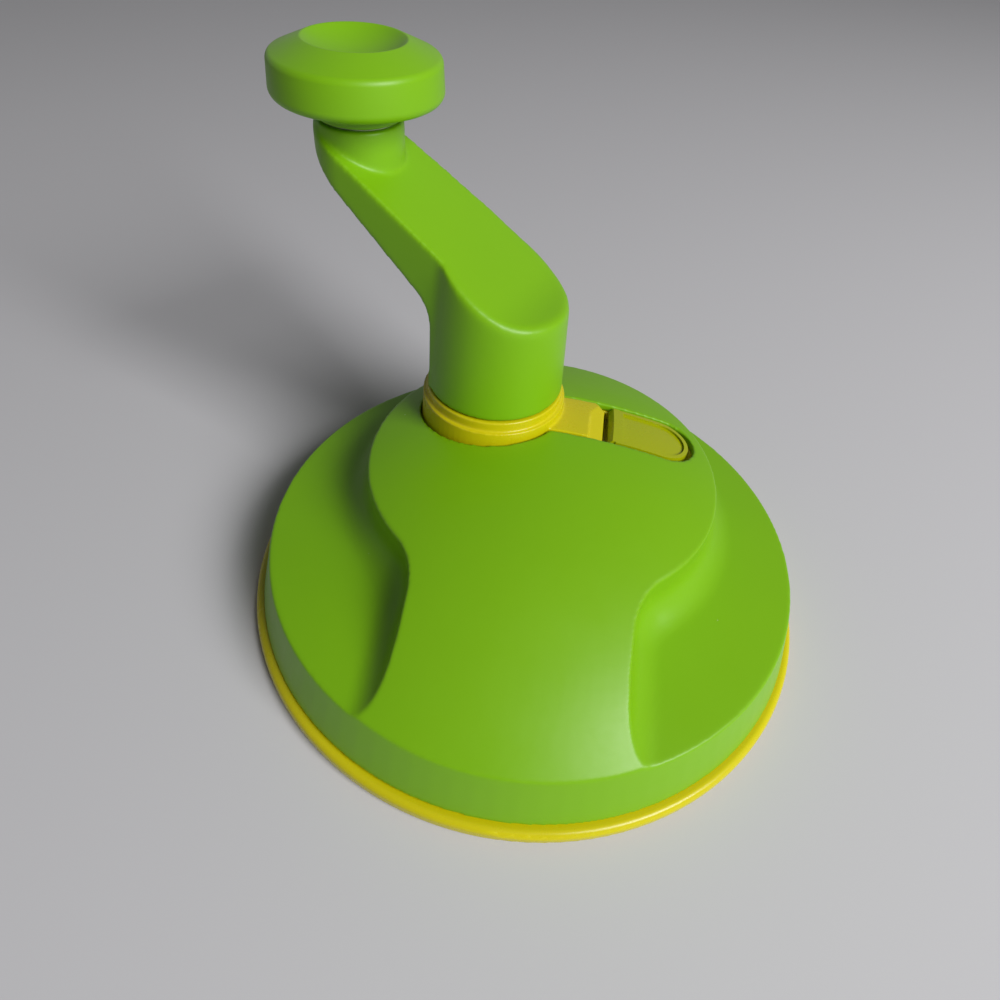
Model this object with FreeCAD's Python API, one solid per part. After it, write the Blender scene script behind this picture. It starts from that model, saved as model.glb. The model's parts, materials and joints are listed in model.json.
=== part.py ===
import FreeCAD, Part
import math
import os

# Crank food chopper cover: moulded dome with two hand grips, gear drive, crank and knob.
# Millimetres. Origin at the centre of the rim, on the plane the rim rests on, +Z up.
# The ridge between the grips runs along Y, its front end towards -Y.

V = FreeCAD.Vector
Z_AXIS = V(0, 0, 1)

# Fits and clearances
running_clearance = 0.06
seat_clearance = 0.3
joint_gap = 0.4
thread_clearance = 0.25
thread_gap = 0.02
screw_tip_gap = 0.5
face_gap = 0.1

# Dome outline
skirt_radius_bottom = 82.3
skirt_bottom = 5.6
shoulder_inset = 3.9
shoulder_height = 22.1
crown_radius = 160.0
crown_centre_y = 10.0
crown_height = 48.7
dome_wall = 2.4

# Ridge between the two grips
lobe_radius = 52.3
lobe_centre_y = 12.0
waist_half_width = 29.6
waist_blend = 20.0
grip_foot_round = 10.0
grip_floor_slope = 7.0

# Rim frame that carries the bowl seat
rim_overhang = 2.5
rim_height = 5.0
rim_edge_round = 1.8
seat_inset = 7.1
seat_depth = 12.0
seat_land = 5.0
seal_height = 2.0
seal_width = 4.6
seal_grip = 0.8
seal_ledge = 2.0
frame_wall = 2.0
snap_count = 6
snap_angle = 16.0
snap_height = 1.6
snap_depth = 0.8
snap_level = 9.6

# Gear pair
gear_module = 1.25
drive_teeth = 36
pinion_teeth = 20
pressure_angle = 20.0
backlash = 0.16
dedendum = 1.25
gear_face = 8.0
gear_level = 26.0
crank_azimuth = 122.0
hub_radius = 9.0
hub_rise = 1.4
web_thickness = 3.0
gear_rim_wall = 3.0
gear_hole_count = 6
gear_hole_margin = 1.2
pinion_overlap = 0.5
pinion_shoulder = 1.5

# Crank shaft and its bearings
shaft_radius = 6.0
shaft_hex = 9.0
bush_wall = 2.0
bush_length = 8.0
bush_flange = 1.0
bush_flange_width = 1.6
tower_wall = 2.0
tower_top = 62.0
end_play = 0.2
hex_engagement = 10.0
screw_radius = 2.0
screw_bite = 9.0
screw_head_radius = 3.8
screw_head_height = 2.6
washer_radius = 7.0
washer_thickness = 0.8

# Collar that shows round the foot of the crank, with its bar
collar_radius = 22.3
collar_ledge_radius = 21.8
collar_ledge_height = 51.2
collar_neck_radius = 20.7
collar_neck_height = 54.4
collar_plate = 2.3
collar_wall = 2.5
slot_centre_y = 27.3
slot_half_width = 9.6
slot_end_x = 45.2
bar_end_x = 16.5
bar_thickness = 4.2
bar_bevel_length = 4.5
bar_bevel_drop = 1.6
bar_corner_cut = 3.0
flange_reach = 3.0
flange_thickness = 2.0

# Filler flap, its hinge and the chute under it
flap_gap = 1.7
flap_end_gap = 1.4
flap_side_gap = 0.5
flap_drop = 0.4
flap_thickness = 2.8
flap_lip = 1.3
flap_dish = 0.7
flap_bevel = 1.6
hinge_radius = 2.2
pin_drop = 4.0
pin_radius = 1.0
pin_bite = 1.6
chute_wall = 1.6
chute_half_width = 7.2
chute_start_x = 24.0
chute_ledge = 2.2
chute_floor = 4.0

# Crank arm
boss_radius = 20.4
boss_draft = 2.8
boss_bottom = 54.8
crank_throw = 44.9
arm_azimuth = 160.2
arm_plane_height = 101.2
arm_plane_at = 20.0
arm_slope = 29.2
arm_root_depth = 17.2
arm_end_depth = 9.8
arm_root_half_width = 14.8
arm_end_half_width = 13.8
arm_root_blend = 9.0
arm_under_start = 15.0
arm_under_blend = 18.0
arm_edge_round = 5.0
boss_top_height = 83.6
boss_top_at = -14.0
boss_top_slope = 6.0
boss_top_blend = 30.0
boss_wall = 2.8
boss_roof = 4.0
boss_rib_rise = 1.0
boss_rib_count = 6
boss_rib_thickness = 1.8
crank_hub_wall = 3.6
socket_radius = 11.5
socket_top = 119.5
socket_bore = 8.0
socket_floor = 111.5
socket_floor_thickness = 2.0
socket_lip_round = 0.8

# Knob
knob_radius = 22.4
knob_draft = 0.7
knob_top = 137.5
knob_top_edge = 133.9
knob_bottom = 124.5
knob_top_round = 3.2
knob_foot_round = 3.4
dish_radius = 12.9
dish_depth = 4.0
neck_radius = 10.8
friction_washer_thickness = 0.5
friction_washer_width = 1.8
knob_screw_radius = 2.9
knob_thread_radius = 2.2
knob_screw_bite = 9.0
knob_screw_head_radius = 5.0
knob_screw_head_height = 2.8
knob_washer_radius = 6.4
knob_recess_radius = 7.2

# Gear case plate and its screws
plate_bottom = 16.6
plate_thickness = 2.0
plate_boss_height = 4.4
plate_boss_wall = 2.2
plate_rib_height = 2.4
plate_rib_thickness = 1.6
plate_rib_count = 10
plate_rib_inset = 8.0
case_boss_radius = 3.6
case_screw_radius = 1.5
case_screw_head_radius = 2.9
case_screw_head_height = 1.8
case_screw_length = 9.0
case_screw_reach = 44.0
case_screw_azimuths = (350.0, 78.0, 186.0, 244.0, 296.0)

# Pinion bearings and blade driver
pinion_journal_radius = 4.0
pinion_bush_wall = 2.0
pinion_boss_bottom = 36.0
pinion_boss_wall = 2.4
pinion_bearing_height = 6.0
driver_radius = 9.5
driver_chamfer = 0.8
driver_recess = 2.0
driver_recess_gap = 0.8
driver_bottom = 5.2
driver_socket_hex = 9.0
driver_socket_depth = 6.5
driver_web = 1.4
tail_hex = 6.0
driver_screw_radius = 1.25
driver_screw_head_radius = 2.8
driver_screw_head_height = 1.8
driver_head_gap = 0.2
driver_screw_bite = 9.0


def polygon_face(points):
    """Face bounded by straight lines through the points."""
    closed = list(points) + [points[0]]
    return Part.Face(Part.makePolygon(closed))


def prism(points, bottom, top):
    """Upright prism on a plan polygon of (x, y) points."""
    face = polygon_face([V(x, y, bottom) for x, y in points])
    return face.extrude(V(0, 0, top - bottom))


def turned(points, angle=360.0):
    """Solid of revolution about Z from (radius, height) points."""
    face = polygon_face([V(r, 0, z) for r, z in points])
    return face.revolve(V(0, 0, 0), Z_AXIS, angle)


def disc(radius, bottom, top, at=(0.0, 0.0)):
    """Upright cylinder at a plan position."""
    return Part.makeCylinder(radius, top - bottom, V(at[0], at[1], bottom))


def ring(outer, inner, bottom, top, at=(0.0, 0.0)):
    """Upright tube at a plan position."""
    return disc(outer, bottom, top, at).cut(disc(inner, bottom - 1, top + 1, at))


def hexagon(across_flats, bottom, top, at=(0.0, 0.0), angle=0.0):
    """Upright hexagonal prism."""
    reach = across_flats / 2 / math.cos(math.pi / 6)
    corners = []
    for i in range(6):
        a = math.radians(angle + 60 * i)
        corners.append((at[0] + reach * math.cos(a), at[1] + reach * math.sin(a)))
    return prism(corners, bottom, top)


def oblong(x0, x1, half_width, bottom, top):
    """Prism along X on the slot line, square at x0 and rounded at x1."""
    centre_x = x1 - half_width
    block = prism(
        [
            (x0, slot_centre_y - half_width),
            (centre_x, slot_centre_y - half_width),
            (centre_x, slot_centre_y + half_width),
            (x0, slot_centre_y + half_width),
        ],
        bottom,
        top,
    )
    return block.fuse(disc(half_width, bottom, top, (centre_x, slot_centre_y))).removeSplitter()


def place(shape, at, angle):
    """Turn a shape about Z and carry it to a plan position."""
    moved = shape.copy()
    moved.rotate(V(0, 0, 0), Z_AXIS, angle)
    moved.translate(V(at[0], at[1], 0))
    return moved


def union(shapes):
    """Fuse several shapes into one clean solid."""
    result = shapes[0]
    for shape in shapes[1:]:
        result = result.fuse(shape)
    return result.removeSplitter()


# Positions and levels that follow from the sizes above
centre_distance = gear_module * (drive_teeth + pinion_teeth) / 2
crank_at = (
    centre_distance * math.cos(math.radians(crank_azimuth)),
    centre_distance * math.sin(math.radians(crank_azimuth)),
)
knob_at = (
    crank_at[0] + crank_throw * math.cos(math.radians(arm_azimuth)),
    crank_at[1] + crank_throw * math.sin(math.radians(arm_azimuth)),
)
shoulder_radius = skirt_radius_bottom - shoulder_inset
rim_radius = skirt_radius_bottom + rim_overhang
seat_radius = skirt_radius_bottom - seat_inset
seal_radius = seat_radius + seal_grip
skirt_taper = (skirt_radius_bottom - shoulder_radius) / (shoulder_height - skirt_bottom)
plate_top = plate_bottom + plate_thickness
gear_top = gear_level + gear_face
hub_top = gear_top + hub_rise
bush_radius = shaft_radius + bush_wall
tower_radius = bush_radius + tower_wall
tower_bottom = hub_top + washer_thickness + end_play + bush_flange
crank_hub_bottom = tower_top + bush_flange + joint_gap
shaft_top = crank_hub_bottom + hex_engagement
arm_rise = math.tan(math.radians(arm_slope))
flap_start_x = bar_end_x + flap_gap
pin_x = flap_start_x + hinge_radius
hinge_tilt = math.degrees(math.asin((slot_centre_y - crown_centre_y) / crown_radius))
friction_top = socket_top + friction_washer_thickness
driver_roof = plate_bottom + driver_recess
driver_top = driver_roof - joint_gap
driver_web_bottom = driver_bottom + driver_socket_depth + driver_screw_head_height + driver_head_gap
tail_bottom = driver_web_bottom + driver_web
pinion_bush_radius = pinion_journal_radius + pinion_bush_wall
pinion_bush_top = plate_top + plate_boss_height + bush_flange
sky = 160.0


def crown(drop):
    """Solid under the crown of the dome, lowered by a wall or a gap."""
    ball = crown_radius - drop
    reach = shoulder_radius + 3 * crown_centre_y
    centre = crown_height - crown_radius

    def on_ball(radius):
        return V(radius, 0, centre + math.sqrt(ball ** 2 - radius ** 2))

    low = -sky
    edges = [
        Part.Arc(on_ball(0), on_ball(reach / 2), on_ball(reach)).toBSpline().toShape(),
        Part.makeLine(on_ball(reach), V(reach, 0, low)),
        Part.makeLine(V(reach, 0, low), V(0, 0, low)),
        Part.makeLine(V(0, 0, low), on_ball(0)),
    ]
    cap = Part.Face(Part.Wire(edges)).revolve(V(0, 0, 0), Z_AXIS, 360)
    return place(cap, (0, crown_centre_y), 0)


def crown_level(x, y):
    """Height of the crown surface over a plan position."""
    reach = math.hypot(x, y - crown_centre_y)
    return crown_height - crown_radius + math.sqrt(crown_radius ** 2 - reach ** 2)


def ridge_prism(inset):
    """Plan of the ridge: a round lobe that narrows to a waist, drawn in by an inset."""
    lobe = disc(lobe_radius - inset, 0, sky, (0, lobe_centre_y))
    half = waist_half_width - inset
    waist = prism([(-half, -sky), (half, -sky), (half, lobe_centre_y), (-half, lobe_centre_y)], 0, sky)
    plan = lobe.fuse(waist).removeSplitter()
    corner_y = lobe_centre_y - math.sqrt((lobe_radius - inset) ** 2 - half ** 2)
    corners = []
    for edge in plan.Edges:
        middle = edge.CenterOfMass
        upright = abs(edge.BoundBox.ZLength - sky) < 0.01
        if upright and abs(abs(middle.x) - half) < 0.01 and abs(middle.y - corner_y) < 0.01:
            corners.append(edge)
    return plan.makeFillet(waist_blend + inset, corners)


def grip_cutter(wall):
    """Space of the two grips, above their floor and outside the ridge, grown by a wall."""
    floor_slope = math.tan(math.radians(grip_floor_slope))
    outer = 1.4 * skirt_radius_bottom
    edge_level = shoulder_height - wall
    blank = turned(
        [
            (0, edge_level + shoulder_radius * floor_slope),
            (outer, edge_level - (outer - shoulder_radius) * floor_slope),
            (outer, sky),
            (0, sky),
        ]
    )
    space = blank.cut(ridge_prism(wall))
    feet = []
    for edge in space.Edges:
        low = edge.BoundBox.ZMax < shoulder_height + shoulder_radius * floor_slope
        middle = edge.CenterOfMass
        if low and math.hypot(middle.x, middle.y) < shoulder_radius and edge.BoundBox.ZLength < 20:
            feet.append(edge)
    return space.makeFillet(grip_foot_round + wall, feet)


def dome_form(wall):
    """Outside form of the dome, or its hollow when drawn in by a wall."""
    low = skirt_bottom if wall == 0 else -1.0
    low_radius = skirt_radius_bottom - wall + (skirt_bottom - low) * skirt_taper
    high_radius = shoulder_radius - wall - (sky - shoulder_height) * skirt_taper
    blank = turned([(0, low), (low_radius, low), (high_radius, sky), (0, sky)])
    return blank.common(crown(wall)).cut(grip_cutter(wall))


def keyhole(margin, bottom, top):
    """Opening of the dome round the collar and the bar, with a margin."""
    round_part = disc(collar_radius + margin, bottom, top, crank_at)
    slot = oblong(crank_at[0], slot_end_x + margin, slot_half_width + margin, bottom, top)
    return round_part.fuse(slot).removeSplitter()


def case_screw_places():
    """Plan positions of the gear case screws, on a circle about the lobe centre."""
    places = []
    for azimuth in case_screw_azimuths:
        a = math.radians(azimuth)
        places.append((case_screw_reach * math.cos(a), lobe_centre_y + case_screw_reach * math.sin(a)))
    return places


def skirt_inside(z):
    """Inner radius of the drafted skirt at a height."""
    return skirt_radius_bottom - dome_wall - (z - skirt_bottom) * skirt_taper


def upstand_radius(z):
    """Outer radius of the rim frame's upstand at a height, inside the skirt."""
    return skirt_inside(z) - seat_clearance


def pick(edges, test):
    """Edges whose bounding box passes a test."""
    return [edge for edge in edges if test(edge.BoundBox)]


# Dome cover
def dome_cover():
    """Green moulded dome with grips, keyhole opening, screw bosses and pinion bearing boss."""
    outside = dome_form(0)
    shell = outside.cut(dome_form(dome_wall))
    bosses = [disc(case_boss_radius, plate_top, sky, at) for at in case_screw_places()]
    bosses.append(disc(pinion_bush_radius + pinion_boss_wall, pinion_boss_bottom, sky))
    for boss in bosses:
        shell = shell.fuse(boss.common(outside))
    for at in case_screw_places():
        shell = shell.cut(disc(case_screw_radius, plate_top - 1, plate_top + case_screw_length, at))
    pocket_top = pinion_boss_bottom + pinion_bearing_height
    shell = shell.cut(disc(pinion_bush_radius, pinion_boss_bottom - 1, pocket_top))
    shell = shell.cut(keyhole(seat_clearance, 0, sky))
    low = snap_level - snap_height / 2 - seat_clearance
    high = snap_level + snap_height / 2 + seat_clearance
    groove = turned(
        [
            (skirt_inside(low) - 2, low),
            (skirt_inside(low) + snap_depth, low),
            (skirt_inside(high) + snap_depth, high),
            (skirt_inside(high) - 2, high),
        ]
    )
    return shell.cut(groove).removeSplitter()


# Rim frame
def rim_frame():
    """Yellow rim with the bowl seat, an upstand inside the skirt and its snap catches."""
    ledge = seat_depth + seal_height
    ledge_radius = seat_radius - seal_width - seal_ledge
    body = turned(
        [
            (seat_radius, 0),
            (rim_radius, 0),
            (rim_radius, rim_height),
            (upstand_radius(rim_height), rim_height),
            (upstand_radius(plate_top), plate_top),
            (upstand_radius(plate_top) - frame_wall, plate_top),
            (upstand_radius(plate_top) - frame_wall, plate_bottom),
            (ledge_radius, plate_bottom),
            (ledge_radius, ledge),
            (seal_radius, ledge),
            (seal_radius, seat_land),
            (seat_radius, seat_land),
        ]
    )
    rounds = pick(body.Edges, lambda box: abs(box.XMax - rim_radius) < 0.01 and box.ZLength < 0.01)
    body = body.makeFillet(rim_edge_round, rounds)
    low = snap_level - snap_height / 2
    high = snap_level + snap_height / 2
    reach = snap_depth + seat_clearance / 2
    catch = turned(
        [
            (upstand_radius(low) - 1, low),
            (upstand_radius(low) + reach, low),
            (upstand_radius(high) + reach / 3, high),
            (upstand_radius(high) - 1, high),
        ],
        snap_angle,
    )
    for i in range(snap_count):
        body = body.fuse(place(catch, (0, 0), 360.0 / snap_count * i - snap_angle / 2))
    return body.removeSplitter()


def bowl_seal():
    """Soft sealing ring held in the groove above the bowl seat."""
    return ring(seal_radius, seat_radius - seal_width, seat_depth, seat_depth + seal_height)


# Gear outlines
def involute_gear(teeth, bottom, top):
    """External involute gear blank on Z with one tooth centred on +X."""
    pitch = gear_module * teeth / 2
    base = pitch * math.cos(math.radians(pressure_angle))
    tip = pitch + gear_module
    root = pitch - dedendum * gear_module
    start = max(base, root)
    half_tooth = (math.pi * gear_module / 2 - backlash / 2) / (2 * pitch)
    roll = math.tan(math.radians(pressure_angle)) - math.radians(pressure_angle)

    def polar(radius, angle):
        return V(radius * math.cos(angle), radius * math.sin(angle), bottom)

    def flank(radius, side, centre):
        swing = math.sqrt(max((radius / base) ** 2 - 1, 0))
        return polar(radius, centre + side * (half_tooth + roll - swing + math.atan(swing)))

    edges = []
    feet = []
    for i in range(teeth):
        centre = 2 * math.pi * i / teeth
        rising = [flank(radius, -1, centre) for radius in (start, (start + tip) / 2, tip)]
        falling = [flank(radius, 1, centre) for radius in (tip, (start + tip) / 2, start)]
        edges.append(Part.Arc(*rising).toShape())
        edges.append(Part.makeLine(rising[-1], falling[0]))
        edges.append(Part.Arc(*falling).toShape())
        foot = [rising[0], falling[-1]]
        if start > root + 0.001:
            for k, point in enumerate(list(foot)):
                foot[k] = polar(root, math.atan2(point.y, point.x))
                edges.append(Part.makeLine(point, foot[k]))
        feet.append(foot)
    for i in range(teeth):
        edges.append(Part.makeLine(feet[i - 1][1], feet[i][0]))
    outline = Part.Wire(Part.__sortEdges__(edges))
    return Part.Face(outline).extrude(V(0, 0, top - bottom))


# Gear pair
def drive_gear():
    """Drive gear on the crank shaft: web with round holes, hub and hexagonal bore."""
    gear = involute_gear(drive_teeth, gear_level, gear_top)
    rim_inside = gear_module * (drive_teeth / 2 - dedendum) - gear_rim_wall
    middle = (gear_level + gear_top) / 2
    gear = gear.cut(ring(rim_inside, hub_radius, middle + web_thickness / 2, gear_top + 1))
    gear = gear.cut(ring(rim_inside, hub_radius, gear_level - 1, middle - web_thickness / 2))
    gear = gear.fuse(disc(hub_radius, gear_level, hub_top)).removeSplitter()
    hole_circle = (rim_inside + hub_radius) / 2
    hole_radius = (rim_inside - hub_radius) / 2 - gear_hole_margin
    for i in range(gear_hole_count):
        a = math.radians(360.0 / gear_hole_count * i)
        at = (hole_circle * math.cos(a), hole_circle * math.sin(a))
        gear = gear.cut(disc(hole_radius, gear_level, gear_top, at))
    gear = gear.cut(hexagon(shaft_hex + 2 * running_clearance, gear_level - 1, hub_top + 1))
    return place(gear, crank_at, crank_azimuth + 180)


def output_pinion():
    """Pinion on the cover's axis with two journals and a hexagonal tail for the driver."""
    low_face = gear_level - pinion_overlap
    high_face = gear_top + pinion_overlap
    journal = pinion_journal_radius
    shape = union(
        [
            involute_gear(pinion_teeth, low_face, high_face),
            disc(journal + pinion_shoulder, high_face, pinion_boss_bottom - end_play),
            disc(journal + pinion_shoulder, pinion_bush_top + end_play, low_face),
            disc(journal, high_face, pinion_boss_bottom + pinion_bearing_height - joint_gap),
            disc(journal, driver_top, low_face),
            hexagon(tail_hex, tail_bottom, driver_top),
        ]
    )
    shape = shape.cut(disc(driver_screw_radius, tail_bottom - 1, tail_bottom + driver_screw_bite))
    return place(shape, (0, 0), crank_azimuth + 180.0 / pinion_teeth)


def flanged_bush(bore, outer, bottom, top, flange_up, at):
    """Plain bearing bush with its flange at one end."""
    body = ring(outer, bore, bottom, top, at)
    if flange_up:
        rim = ring(outer + bush_flange_width, bore, top, top + bush_flange, at)
    else:
        rim = ring(outer + bush_flange_width, bore, bottom - bush_flange, bottom, at)
    return union([body, rim])


def pinion_bush_upper():
    """Plain bush of the pinion in the boss under the crown."""
    high = pinion_boss_bottom + pinion_bearing_height
    bore = pinion_journal_radius + running_clearance
    return ring(pinion_bush_radius - running_clearance, bore, pinion_boss_bottom, high)


def pinion_bush_lower():
    """Flanged bush of the pinion in the gear case plate."""
    bore = pinion_journal_radius + running_clearance
    outer = pinion_bush_radius - running_clearance
    return flanged_bush(bore, outer, driver_roof, pinion_bush_top - bush_flange, True, (0, 0))


def blade_driver():
    """Coupling under the plate with a hexagonal socket for the blade shaft."""
    body = disc(driver_radius, driver_bottom, driver_top)
    body = body.makeChamfer(driver_chamfer, [e for e in body.Edges if e.BoundBox.ZLength < 0.01])
    turn = crank_azimuth + 180.0 / pinion_teeth
    socket_end = driver_bottom + driver_socket_depth
    at = (0, 0)
    body = body.cut(hexagon(driver_socket_hex, driver_bottom - 1, socket_end, at, turn))
    body = body.cut(disc(driver_screw_head_radius + seat_clearance, socket_end - 1, driver_web_bottom))
    body = body.cut(disc(driver_screw_radius + thread_clearance, driver_web_bottom - 1, tail_bottom))
    return body.cut(hexagon(tail_hex + 2 * running_clearance, tail_bottom, driver_top + 1, at, turn))


def driver_screw():
    """Screw that holds the driver on the pinion's tail."""
    head_low = driver_web_bottom - driver_screw_head_height
    head = disc(driver_screw_head_radius, head_low, driver_web_bottom)
    shank = disc(driver_screw_radius, driver_web_bottom, tail_bottom + driver_screw_bite - screw_tip_gap)
    return union([head, shank])


# Crank shaft
def crank_shaft():
    """Turned shaft: hexagon for the gear, journal in the collar tower, hexagon for the crank."""
    shape = union(
        [
            hexagon(shaft_hex, gear_level + seat_clearance, hub_top, (0, 0), 0),
            disc(shaft_radius, hub_top, crank_hub_bottom),
            hexagon(shaft_hex, crank_hub_bottom, shaft_top, (0, 0), 0),
        ]
    )
    shape = shape.cut(disc(screw_radius + thread_clearance, gear_level - 1, shaft_top + 1))
    return place(shape, crank_at, crank_azimuth + 180)


def shaft_bush_upper():
    """Flanged bush at the top of the collar tower."""
    bore = shaft_radius + running_clearance
    outer = bush_radius - running_clearance
    return flanged_bush(bore, outer, tower_top - bush_length, tower_top, True, crank_at)


def shaft_bush_lower():
    """Flanged bush at the foot of the collar tower."""
    bore = shaft_radius + running_clearance
    outer = bush_radius - running_clearance
    return flanged_bush(bore, outer, tower_bottom, tower_bottom + bush_length, False, crank_at)


def thrust_washer():
    """Washer between the gear hub and the lower bush."""
    return ring(hub_radius, shaft_radius + running_clearance, hub_top, hub_top + washer_thickness, crank_at)


def crank_washer():
    """Washer under the drive gear."""
    low = gear_level - washer_thickness
    return ring(washer_radius, screw_radius + thread_clearance, low, gear_level, crank_at)


def crank_screw():
    """Long screw through the shaft that clamps gear, shaft and crank together."""
    head_top = gear_level - washer_thickness
    head = disc(screw_head_radius, head_top - screw_head_height, head_top, crank_at)
    shank = disc(screw_radius, head_top, shaft_top + screw_bite - screw_tip_gap, crank_at)
    return union([head, shank])


# Collar frame
def hinge_place(shape):
    """Carry a shape built about the origin, with the hinge along Y, to the flap's hinge."""
    moved = shape.copy()
    moved.rotate(V(0, 0, 0), V(1, 0, 0), -hinge_tilt)
    moved.translate(V(pin_x, slot_centre_y, crown_level(pin_x, slot_centre_y) - pin_drop))
    return moved


def hinge_rod(radius, half_length):
    """Round rod on the flap's hinge line."""
    return hinge_place(Part.makeCylinder(radius, 2 * half_length, V(0, -half_length, 0), V(0, 1, 0)))


def hinge_block(points, half_length):
    """Block across the slot on (x, height) points taken from the hinge line."""
    face = polygon_face([V(x, -half_length, z) for x, z in points])
    return hinge_place(face.extrude(V(0, 2 * half_length, 0)))


def chute_end_x():
    """Far end of the filler chute, one ledge inside the flap's free end."""
    return slot_end_x - flap_end_gap - chute_ledge


def collar_turret():
    """Collar with its neck and the bearing tower, on Z."""
    inner = collar_neck_radius - collar_wall
    neck_roof = collar_neck_height - collar_plate
    return turned(
        [
            (inner, tower_bottom),
            (collar_radius, tower_bottom),
            (collar_ledge_radius, collar_ledge_height),
            (collar_neck_radius, collar_ledge_height),
            (collar_neck_radius, collar_neck_height),
            (tower_radius, collar_neck_height),
            (tower_radius, tower_top),
            (bush_radius, tower_top),
            (bush_radius, tower_bottom),
            (tower_radius, tower_bottom),
            (tower_radius, neck_roof),
            (inner, neck_roof),
        ]
    )


def collar_bar():
    """Bar between the collar and the flap, bevelled at its end."""
    bar = oblong(crank_at[0], bar_end_x + slot_half_width, slot_half_width, 0, sky)
    bar = bar.common(crown(0)).cut(crown(bar_thickness))
    bar = bar.cut(prism([(bar_end_x, 0), (sky, 0), (sky, sky), (bar_end_x, sky)], 0, sky))
    end_level = crown_level(bar_end_x, slot_centre_y)
    reach = slot_half_width + 1
    bevel = polygon_face(
        [
            V(bar_end_x - bar_bevel_length, slot_centre_y - reach, end_level + bar_bevel_drop),
            V(bar_end_x - bar_bevel_length, slot_centre_y - reach, end_level),
            V(bar_end_x, slot_centre_y - reach, end_level - bar_bevel_drop),
            V(bar_end_x, slot_centre_y - reach, end_level + bar_bevel_drop),
        ]
    ).extrude(V(0, 2 * reach, 0))
    bar = bar.cut(bevel)
    far_y = slot_centre_y + slot_half_width
    corner = prism(
        [(bar_end_x - bar_corner_cut, far_y), (bar_end_x, far_y - bar_corner_cut), (bar_end_x, far_y)], 0, sky
    )
    return bar.cut(corner)


def collar_frame():
    """Yellow collar with its bearing tower, the bar beside it, the flap seat and the chute."""
    under = dome_wall + face_gap
    seat_drop = flap_drop + flap_thickness + face_gap
    turret = place(collar_turret(), crank_at, 0)
    core = disc(collar_neck_radius - collar_wall, 0, collar_neck_height - collar_plate, crank_at)
    hollow = dome_form(under)
    flange = keyhole(flange_reach, plate_top, sky).common(hollow).cut(crown(under + flange_thickness))
    cheek_reach = slot_half_width + flange_reach
    cheeks = oblong(bar_end_x - chute_wall, slot_end_x + flange_reach, cheek_reach, 0, sky)
    cheeks = cheeks.common(hollow).cut(crown(seat_drop + chute_floor))
    tube = oblong(
        chute_start_x - chute_wall, chute_end_x() + chute_wall, chute_half_width + chute_wall, plate_top, sky
    ).common(crown(seat_drop))
    lower = union([flange, cheeks, tube, collar_bar()]).cut(core)
    body = turret.fuse(lower)
    flap_room = oblong(bar_end_x, slot_end_x, slot_half_width, 0, sky)
    body = body.cut(flap_room.cut(crown(seat_drop)))
    room = hinge_radius + seat_clearance
    start = bar_end_x - pin_x
    swing = [(start, -room), (room, -room), (room, 2 * pin_drop), (start, 2 * pin_drop)]
    body = body.cut(hinge_block(swing, slot_half_width))
    body = body.cut(oblong(chute_start_x, chute_end_x(), chute_half_width, 0, sky))
    body = body.cut(hinge_rod(pin_radius + running_clearance, slot_half_width + pin_bite))
    return body.removeSplitter()


# Filler flap
def filler_flap():
    """Dished flap with a raised lip, rounded at its free end, on a hinge barrel."""
    half = slot_half_width - flap_side_gap
    end = slot_end_x - flap_end_gap
    plate = oblong(pin_x, end, half, 0, sky).common(crown(flap_drop)).cut(crown(flap_drop + flap_thickness))
    inset = oblong(pin_x + hinge_radius, end - flap_lip, half - flap_lip, 0, sky)
    plate = plate.cut(inset.cut(crown(flap_drop + flap_dish)))
    height = pin_drop + 1
    bevel_level = pin_drop - flap_drop - flap_bevel
    knuckle = hinge_block(
        [
            (-hinge_radius, 0),
            (-hinge_radius, bevel_level),
            (-hinge_radius + flap_bevel + 1, height),
            (pin_radius, height),
            (pin_radius, 0),
        ],
        half,
    ).common(crown(flap_drop))
    body = union([plate, hinge_rod(hinge_radius, half), knuckle])
    return body.cut(hinge_rod(pin_radius + running_clearance, half + 1))


def flap_pin():
    """Steel hinge pin of the filler flap."""
    return hinge_rod(pin_radius, slot_half_width + pin_bite - face_gap)


# Crank
def arm_level(u):
    """Height of the arm's sloping top at a distance along the arm."""
    return arm_plane_height + arm_rise * (u - arm_plane_at)


def side_prism(points, half_width):
    """Prism across the arm on (distance, height) points."""
    face = polygon_face([V(u, -half_width, z) for u, z in points])
    return face.extrude(V(0, 2 * half_width, 0))


def crank_under():
    """Space under the arm, with the sweep where the arm leaves the boss."""
    far = crank_throw + 2 * socket_radius
    start = arm_under_start
    thinning = (arm_root_depth - arm_end_depth) / (crank_throw - start)
    far_depth = arm_end_depth - thinning * (far - crank_throw)
    under = side_prism(
        [
            (start, 0),
            (start, arm_level(start) - arm_root_depth),
            (far, arm_level(far) - far_depth),
            (far, 0),
        ],
        crank_throw,
    )

    def bend(box):
        return box.XLength < 0.01 and abs(box.XMax - start) < 0.01 and box.ZLength < 0.01 and box.ZMin > 1

    return under.makeFillet(arm_under_blend, pick(under.Edges, bend))


def crank_over():
    """Space over the crank: the arm's slope blends into the flatter top of the boss."""
    far = crank_throw + 2 * socket_radius
    boss_rise = math.tan(math.radians(boss_top_slope))
    level = boss_top_height - boss_rise * boss_top_at
    meet = (level - arm_level(0)) / (arm_rise - boss_rise)
    over = side_prism(
        [
            (-far, level - boss_rise * far),
            (meet, arm_level(meet)),
            (far, arm_level(far)),
            (far, 2 * sky),
            (-far, 2 * sky),
        ],
        crank_throw,
    )

    def ridge(box):
        return box.XLength < 0.01 and abs(box.XMax - meet) < 0.01

    return over.makeFillet(boss_top_blend, pick(over.Edges, ridge))


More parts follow.
